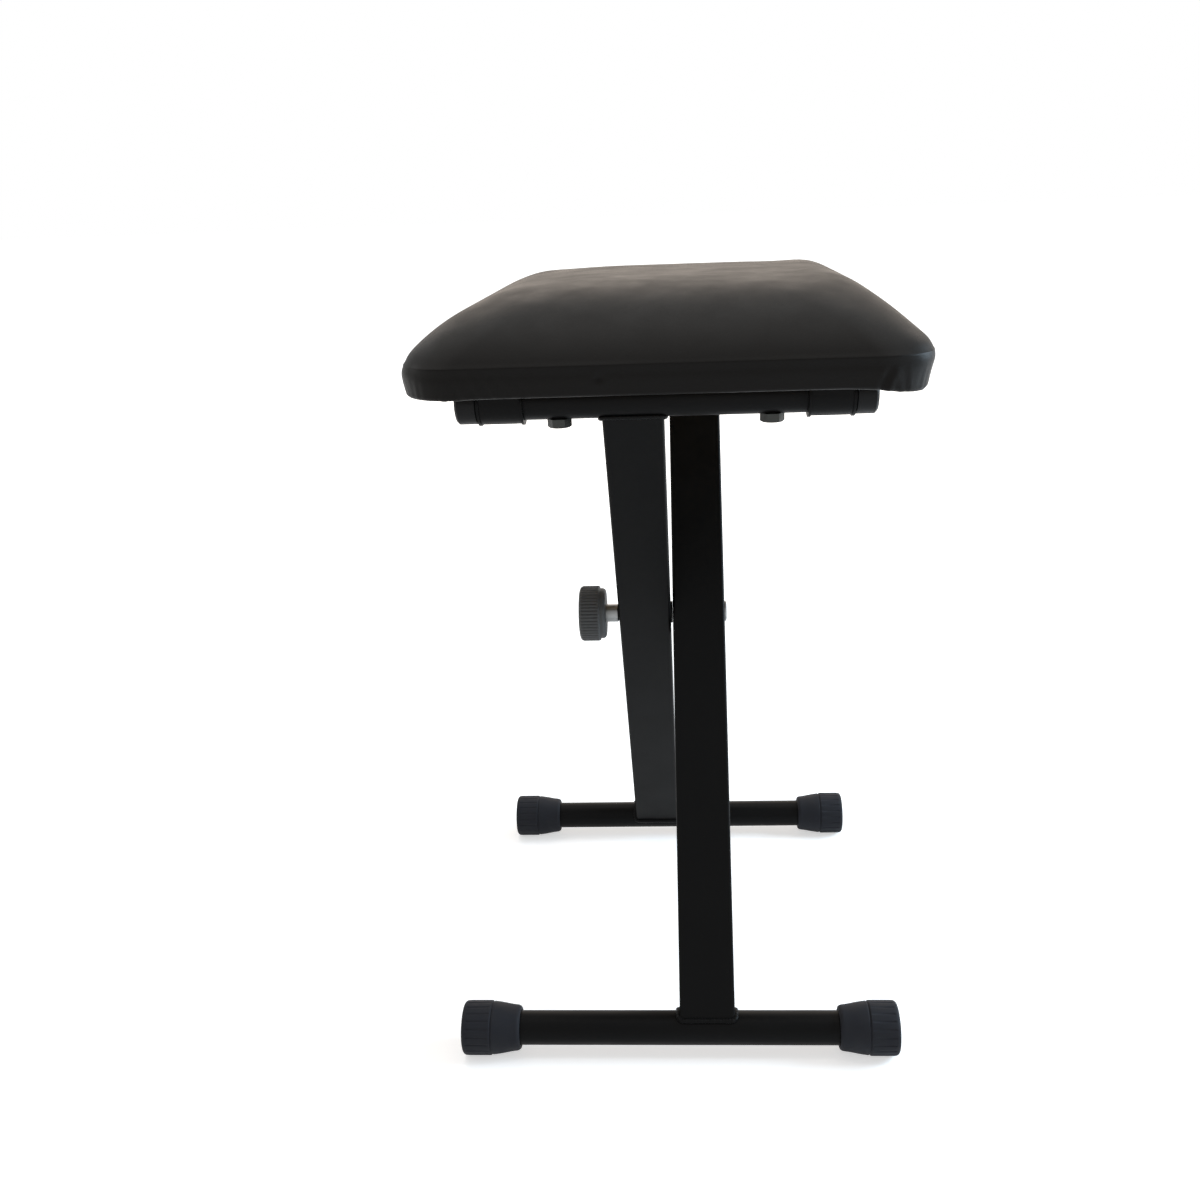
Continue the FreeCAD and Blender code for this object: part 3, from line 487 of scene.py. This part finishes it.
# how far the right front corner hangs below the rest and stands out there
HANG = 3.2 * MM
HANG_OUT = 1.2 * MM
HANG_MIDDLE = 4 * MM
HANG_WIDTH = 24 * MM

# unevenness of the cover: waves per metre and their height
BROAD_WAVES = 16
BROAD_HEIGHT = 0.4 * MM
FINE_WAVES = 90
FINE_HEIGHT = 0.06 * MM

# the gathered fold under the corners
GATHER_FULL = 20 * MM
GATHER_END = 48 * MM
GATHER_TOP = 0.25


def side_relief(point, outward):
    """The rims and hollows that run round the side."""
    end = smooth_step(1 - abs(outward.y), 0.02, 0.35)
    out = (swell(point.z, SIDE_RIM) + swell(point.z, SIDE_HOLLOW)) * (1 - end)
    out += swell(point.z, END_HOLLOW) * end
    if point.x > 0:
        out += swell(point.z, RIGHT_END) * end
    return out


def pleat_relief(height, corner, along, pleats):
    """The pleats that cross a point of the side."""
    fade = smooth_step(height, -0.02, 0.12) * (1 - smooth_step(height, 0.25, 0.95))
    out = 0.0
    for where, start, lean, width, depth in pleats:
        if where == corner and abs(along - start) < PLEAT_REACH:
            gap = (along - start - lean * height) / width
            out += depth * fade * gap * math.exp(0.5 - gap * gap) * PLEAT_SHARE
    return out


def front_relief(point, height):
    """The dimple and the drawn crease of the front side."""
    spot = Vector((point.x - DIMPLE.x, 0, point.z - DIMPLE.z)).length
    gap = point.x - CREASE_FOOT - CREASE_LEAN * height
    low = 1 - smooth_step(height, 0.3, 0.75)
    dimple = swell(spot, DIMPLE_PIT) + swell(spot, DIMPLE_RIM)
    return dimple + (swell(gap, CREASE_PIT) + swell(gap, CREASE_LIP)) * low


def dressed_point(point, outward, step, pleats):
    """A cushion point with its rims, pleats, dimple, crease, shoulders and small unevenness."""
    moved = point.copy()
    height = (point.z - SEAT_BOTTOM) / SIDE_BAND
    corner, along = from_corner(step)
    out = side_relief(point, outward) + pleat_relief(height, corner, along, pleats)
    if outward.y < -0.7:
        out += front_relief(point, height)
    uneven = noise.noise(point * BROAD_WAVES) * BROAD_HEIGHT + noise.noise(point * FINE_WAVES) * FINE_HEIGHT
    if height > 1:
        moved.z += uneven * 0.3 * smooth_step(height, 1.0, 1.4)
        above = smooth_step(height, 1.0, 1.8)
        reach = 1 - smooth_step(abs(point.y), *SHOULDER_FADE)
        for shoulder in SHOULDERS:
            moved.z += swell(point.x, shoulder) * above * reach
    side = smooth_step(height, 0.0, 0.15) * (1 - smooth_step(height, 0.9, 1.2))
    moved += outward * (out + uneven * side)
    if corner == RIGHT_FRONT:
        hang = hump(along, HANG_MIDDLE, HANG_WIDTH) * (1 - smooth_step(height, 0.0, 0.9))
        moved.z -= HANG * hang
        moved += outward * HANG_OUT * hang
    if height < GATHER_TOP:
        gather = 1 - smooth_step(abs(along), GATHER_FULL, GATHER_END)
        fold = noise.noise(Vector((step * 0.35, corner * 7.0, point.x * 6)))
        moved.z -= gather * (0.5 + 0.9 * max(0.0, fold)) * MM * (1 - height / GATHER_TOP)
    return moved


def make_cushion():
    """The vinyl cushion with its crown, upright side, fold and hem."""
    pleats = corner_pleats(5)
    inner, outer = inner_rings(), outer_rings()
    count = len(inner[0])
    points = [point for ring in inner for point, outward in ring]
    for ring in outer:
        for step, (point, outward) in enumerate(ring):
            points.append(dressed_point(point, outward, step, pleats))
    rings = len(inner) + len(outer)
    faces = quads(rings, count)
    for ring_start, turn in ((0, -1), ((rings - 1) * count, 1)):
        middle = sum((points[ring_start + n] for n in range(count)), Vector()) / count
        points.append(middle)
        for step in range(count):
            pair = (ring_start + step, ring_start + (step + 1) % count)[::turn]
            faces.append((*pair, len(points) - 1))
    piece = new_piece("seat_cushion", points, faces, "black_vinyl", "seat",
                      "seat_cover", "seat_foam", sharp=math.radians(75))


# Turned pieces

CORNER_STEPS = 5


def rounded(profile, radius):
    """A profile with each inner corner rounded, as far as its runs allow."""
    points = [Vector(p) for p in profile]
    result = [points[0]]
    for before, corner, after in zip(points, points[1:], points[2:]):
        back, on = before - corner, after - corner
        reach = min(radius, back.length * 0.45, on.length * 0.45)
        first, last = corner + back.normalized() * reach, corner + on.normalized() * reach
        for step in range(CORNER_STEPS + 1):
            share = step / CORNER_STEPS
            result.append(first.lerp(corner, share).lerp(corner.lerp(last, share), share))
    result.append(points[-1])
    return result


ON_AXIS = 1e-6


def turned(name, profile, origin, way, slot, body, replaced, count, shape):
    """A piece turned about the X axis; the profile is (distance from the origin, radius)."""
    points = []
    rings = [p for p in profile if p[1] > ON_AXIS]
    for along, radius in rings:
        for step in range(count):
            angle = 2 * math.pi * step / count
            size = shape(along, radius, angle)
            places = (origin[0] + way * along, origin[1] + size * math.cos(angle),
                      origin[2] + size * math.sin(angle))
            points.append(Vector(places))
    faces = quads(len(rings), count)
    ends = [(0, profile[0]), (len(rings) - 1, profile[-1])]
    for ring, (along, radius) in ends:
        if radius <= ON_AXIS:
            points.append(Vector((origin[0] + way * along, origin[1], origin[2])))
            for step in range(count):
                low = ring * count
                faces.append((low + step, low + (step + 1) % count, len(points) - 1))
    return new_piece(name, points, faces, slot, body, replaced)


def middle_of(node):
    """The middle of a node's box."""
    low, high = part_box(node)
    return (low + high) / 2


TUBE_RADIUS = 11.55 * MM
CAP_STEPS = 280
CAP_RIBS = 21
CAP_GROOVE = 0.6 * MM
CAP_GROOVE_SHARE = 0.085
CAP_RIBBED = (2.2 * MM, 19.3 * MM)
CAP_FLAT = 0.5 * MM


def make_floor_cap(leg, letter):
    """A rubber cap on the end of a floor bar: ribbed outer half, tapered inner half."""
    node = f"{leg}_floor_cap_{letter}"
    bar_low, bar_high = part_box(f"{leg}_floor_bar")
    low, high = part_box(node)
    outer = (high.z - low.z + CAP_FLAT) / 2
    length = high.x - low.x
    way = 1 if letter == "a" else -1
    axis = (bar_low + bar_high) / 2
    start = low.x if way == 1 else high.x
    body = [(0, 0), (-0.2 * MM, outer * 0.45), (0, outer - 1.6 * MM), (1.3 * MM, outer - 0.3 * MM),
            (3.5 * MM, outer), (19.4 * MM, outer), (20.0 * MM, outer - 1.1 * MM),
            (20.9 * MM, outer - 0.45 * MM), (26.5 * MM, outer - 1.2 * MM), (34 * MM, outer - 2.6 * MM),
            (length - 1.8 * MM, outer - 3.1 * MM), (length, outer - 4.2 * MM), (length, TUBE_RADIUS),
            (6 * MM, TUBE_RADIUS), (6 * MM, 0)]
    profile = rounded(body, 1.6 * MM)

    def ribbed(along, radius, angle):
        if radius < TUBE_RADIUS + 1 * MM:
            return radius
        share = (angle * CAP_RIBS / (2 * math.pi)) % 1
        groove = hump(share, 0.5, CAP_GROOVE_SHARE)
        within = smooth_step(along, CAP_RIBBED[0], CAP_RIBBED[0] + 1.6 * MM)
        within *= 1 - smooth_step(along, CAP_RIBBED[1] - 1 * MM, CAP_RIBBED[1])
        return radius - CAP_GROOVE * groove * within

    piece = turned(f"{leg}_rubber_cap_{letter}", profile, (start, axis.y, axis.z), way,
                   "black_rubber", f"{leg}_leg", node, CAP_STEPS, ribbed)
    for vertex in piece.data.vertices:
        vertex.co.z = max(vertex.co.z, 0.0)


KNOB_STEPS = 400
KNOB_RIBS = 50
KNOB_GROOVE = 0.75 * MM


def make_knob():
    """The hand knob: a finely ribbed grip with a plain collar beside the neck."""
    low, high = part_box("knob_grip")
    outer = (high.z - low.z) / 2
    length = high.x - low.x
    centre = (low + high) / 2
    collar = outer - 1.5 * MM
    bore = (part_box("knob_neck")[1].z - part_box("knob_neck")[0].z) / 2
    body = [(0, 0), (-0.2 * MM, outer * 0.3), (0.3 * MM, outer - 3 * MM), (0.9 * MM, outer - 1.2 * MM),
            (2.6 * MM, outer), (length - 5.4 * MM, outer), (length - 4.4 * MM, outer - 0.4 * MM),
            (length - 4.2 * MM, collar - 0.3 * MM), (length - 1.4 * MM, collar - 0.4 * MM),
            (length, collar - 1.8 * MM), (length, bore), (length, 0)]
    profile = rounded(body, 1.2 * MM)

    def ribbed(along, radius, angle):
        if radius < outer * 0.8:
            return radius
        share = (angle * KNOB_RIBS / (2 * math.pi)) % 1
        within = smooth_step(along, 0.9 * MM, 3 * MM)
        within *= 1 - smooth_step(along, length - 5.6 * MM, length - 4.8 * MM)
        return radius - KNOB_GROOVE * within * (0.5 - 0.5 * math.cos(2 * math.pi * share)) ** 3

    turned("hand_knob", profile, (low.x, centre.y, centre.z), 1, "grey_plastic", "knob",
           "knob_grip", KNOB_STEPS, ribbed)


# Weld beads

LEG_HALF_DEPTH = 10 * MM
LEG_EDGE = 2 * MM
LEG_EDGE_STEPS = 6
LEG_WIDE_STEPS = 16
BEAD_SIDES = 12
BEAD_OUT = 0.5 * MM
BEAD_UP = 0.4 * MM
BEAD_WIDE = 1.15
BEAD_HIGH = 0.85
BEAD_SEEDS = {"left": 11, "right": 12}

# in millimetres: the spacing of a bead's sections, its ripples' length and rise, and its radius
BEAD_SPACING = 0.45
RIPPLE_LENGTH = 2.1
RIPPLE_RISE = 0.35
BEAD_RADIUS = 1.45
BEAD_UNEVEN = 0.3


def leg_outline(half_width):
    """The leg tube's outline, as (across, deep, outward across, outward deep)."""
    outline = []
    for turn, (side_u, side_v) in enumerate(((1, -1), (1, 1), (-1, 1), (-1, -1))):
        start = math.radians(90 * turn - 90)
        outward = (math.cos(start), math.sin(start))
        along = (-math.sin(start), math.cos(start))
        run = (half_width, LEG_HALF_DEPTH)[turn % 2] - LEG_EDGE
        centre = (side_u * (half_width - LEG_EDGE), side_v * (LEG_HALF_DEPTH - LEG_EDGE))
        parts = LEG_WIDE_STEPS if turn % 2 == 0 else LEG_WIDE_STEPS // 2
        for step in range(parts):
            left = run * 2 * (1 - step / parts)
            place_on = [centre[n] + outward[n] * LEG_EDGE - along[n] * left for n in (0, 1)]
            outline.append((*place_on, *outward))
        for step in range(LEG_EDGE_STEPS):
            angle = start + math.radians(90) * step / LEG_EDGE_STEPS
            way = (math.cos(angle), math.sin(angle))
            outline.append((centre[0] + LEG_EDGE * way[0], centre[1] + LEG_EDGE * way[1], *way))
    return outline


def resampled(points, spacing):
    """A closed line of points at an even spacing."""
    runs = [(b - a).length for a, b in zip(points, points[1:] + points[:1])]
    total = sum(runs)
    count = int(total / spacing)
    result, run, done = [], 0, 0.0
    for step in range(count):
        target = total * step / count
        while done + runs[run] < target:
            done += runs[run]
            run += 1
        share = (target - done) / runs[run]
        result.append(points[run].lerp(points[(run + 1) % len(points)], share))
    return result


def weld_line(end, down, way, centre_x, half_width):
    """The closed line along which the leg tube's outline meets a round tube."""
    across = Vector((1, 0, 0))
    deep = across.cross(down)
    line = []
    for u, v, out_u, out_v in leg_outline(half_width):
        reach = math.sqrt(TUBE_RADIUS ** 2 - v ** 2)
        foot = Vector((centre_x, end.y, end.z)) + across * u + deep * v + way * reach
        line.append(foot + (across * out_u + deep * out_v) * BEAD_OUT + way * BEAD_UP)
    return resampled(line, BEAD_SPACING * MM)


def make_welds(leg):
    """Rippled weld beads where a leg tube meets its cross tube and its floor bar."""
    tube, bar = middle_of(f"{leg}_cross_tube"), middle_of(f"{leg}_floor_bar")
    low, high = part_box(f"{leg}_leg_tube")
    centre_x, half_width = (low.x + high.x) / 2, (high.x - low.x) / 2
    down = Vector((0, bar.y - tube.y, bar.z - tube.z)).normalized()
    points, faces = [], []
    draw = random.Random(BEAD_SEEDS[leg])
    for end, way in ((tube, down), (bar, -down)):
        line = weld_line(end, down, way, centre_x, half_width)
        first = len(points)
        count = len(line)
        for step, point in enumerate(line):
            along = (line[(step + 1) % count] - line[step - 1]).normalized()
            ripple = (step * BEAD_SPACING / RIPPLE_LENGTH) % 1
            size = BEAD_RADIUS + RIPPLE_RISE * (1 - ripple) + BEAD_UNEVEN * noise.noise(point * 160)
            lift = Vector((0, point.y - end.y, point.z - end.z)).normalized()
            side = along.cross(lift).normalized()
            lift = side.cross(along)
            for turn in range(BEAD_SIDES):
                angle = 2 * math.pi * turn / BEAD_SIDES
                wobble = 1 + draw.uniform(-0.05, 0.05)
                offset = side * math.cos(angle) * BEAD_WIDE + lift * math.sin(angle) * BEAD_HIGH
                points.append(point + offset * size * wobble * MM)
        for step in range(count):
            near, far = first + step * BEAD_SIDES, first + (step + 1) % count * BEAD_SIDES
            for turn in range(BEAD_SIDES):
                after = (turn + 1) % BEAD_SIDES
                faces.append((near + turn, near + after, far + after, far + turn))
    new_piece(f"{leg}_weld_beads", points, faces, "powder_coated_steel", f"{leg}_leg",
              f"{leg}_welds", sharp=math.radians(60))


make_cushion()
make_knob()
for leg_name in ("left", "right"):
    make_welds(leg_name)
    for cap_letter in ("a", "b"):
        make_floor_cap(leg_name, cap_letter)


# Camera, stage and light

STAGE_SIZE = 60


def set_camera():
    """The camera where the photograph was taken from, found by a fit to the tube edges."""
    place_m = Vector((9.6, -803.0, 565.4)) * MM
    yaw, pitch, roll = math.radians(3.3), math.radians(-19.36), math.radians(-2.2)
    data = bpy.data.cameras.new("camera")
    data.sensor_width = 36
    data.lens = 34.56
    data.shift_x = -0.01825
    data.shift_y = -0.00074
    data.clip_start = 0.05
    data.clip_end = STAGE_SIZE
    camera = bpy.data.objects.new("camera", data)
    bpy.context.scene.collection.objects.link(camera)
    turn = Matrix.Rotation(yaw, 4, "Z") @ Matrix.Rotation(math.radians(90) + pitch, 4, "X")
    camera.matrix_world = Matrix.Translation(place_m) @ turn @ Matrix.Rotation(roll, 4, "Z")
    bpy.context.scene.camera = camera


# how far the floor shines where it is looked at, near the bench and far from it
FLOOR_LIFT_NEAR = 0.55
FLOOR_LIFT_FAR = 1.0
FLOOR_NEAR = 0.5
FLOOR_FAR = 1.6
FLOOR_GREY = 0.82
WORLD_LIGHT = 0.4


def looked_at(tree):
    """1 on rays that look, straight or by a gloss or a glass, and 0 on rays that only light."""
    path = tree.nodes.new("ShaderNodeLightPath")
    seen = path.outputs["Is Camera Ray"]
    for kind in ("Is Glossy Ray", "Is Transmission Ray"):
        seen = math_node(tree, "MAXIMUM", seen, path.outputs[kind])
    return seen


def set_stage():
    """A pale floor that shows white and keeps the object's shadow."""
    bpy.ops.mesh.primitive_plane_add(size=STAGE_SIZE)
    floor = bpy.context.object
    floor.name = "floor"
    material, tree, shader = new_material("floor", 0.9, specular=0.0)
    shader.inputs["Base Color"].default_value = (FLOOR_GREY, FLOOR_GREY, FLOOR_GREY, 1)
    shader.inputs["Emission Color"].default_value = (1, 1, 1, 1)
    distance = tree.nodes.new("ShaderNodeVectorMath")
    distance.operation = "LENGTH"
    tree.links.new(place(tree), distance.inputs[0])
    lift = spread(tree, distance.outputs["Value"], FLOOR_LIFT_NEAR, FLOOR_LIFT_FAR, FLOOR_NEAR, FLOOR_FAR)
    tree.links.new(math_node(tree, "MULTIPLY", looked_at(tree), lift), shader.inputs["Emission Strength"])
    floor.data.materials.append(material)


def set_world():
    """White where it is looked at, dimmer where it only lights."""
    world = bpy.data.worlds.new("surround")
    bpy.context.scene.world = world
    world.use_nodes = True
    tree = world.node_tree
    back = tree.nodes["Background"]
    back.inputs["Color"].default_value = (1, 1, 1, 1)
    tree.links.new(spread(tree, looked_at(tree), WORLD_LIGHT, 1.0), back.inputs["Strength"])


def set_light(name, place_m, aim, size, power, colour):
    """A soft box that faces a point."""
    data = bpy.data.lights.new(name, "AREA")
    data.shape = "RECTANGLE"
    data.size, data.size_y = size
    data.energy = power
    data.color = colour
    light = bpy.data.objects.new(name, data)
    light.visible_camera = False
    light.location = place_m
    light.rotation_euler = (Vector(aim) - Vector(place_m)).to_track_quat("-Z", "Y").to_euler()
    bpy.context.scene.collection.objects.link(light)


set_camera()
set_stage()
set_world()
set_light("overhead", (0.0, 0.3, 2.4), (0, 0, 0.3), (2.4, 1.8), 22, (1.0, 0.97, 0.93))
set_light("back_glow", (0.2, 2.6, 1.15), (0, 0, 0.5), (3.0, 1.9), 18, (1.0, 0.76, 0.54))
set_light("left_box", (-1.7, -0.2, 1.2), (0, 0, 0.3), (1.0, 1.2), 1.5, (1.0, 0.86, 0.74))
set_light("right_box", (1.5, 0.1, 0.8), (0, 0, 0.45), (0.8, 0.7), 34, (0.66, 0.84, 1.0))
bpy.context.scene.view_settings.view_transform = "Standard"
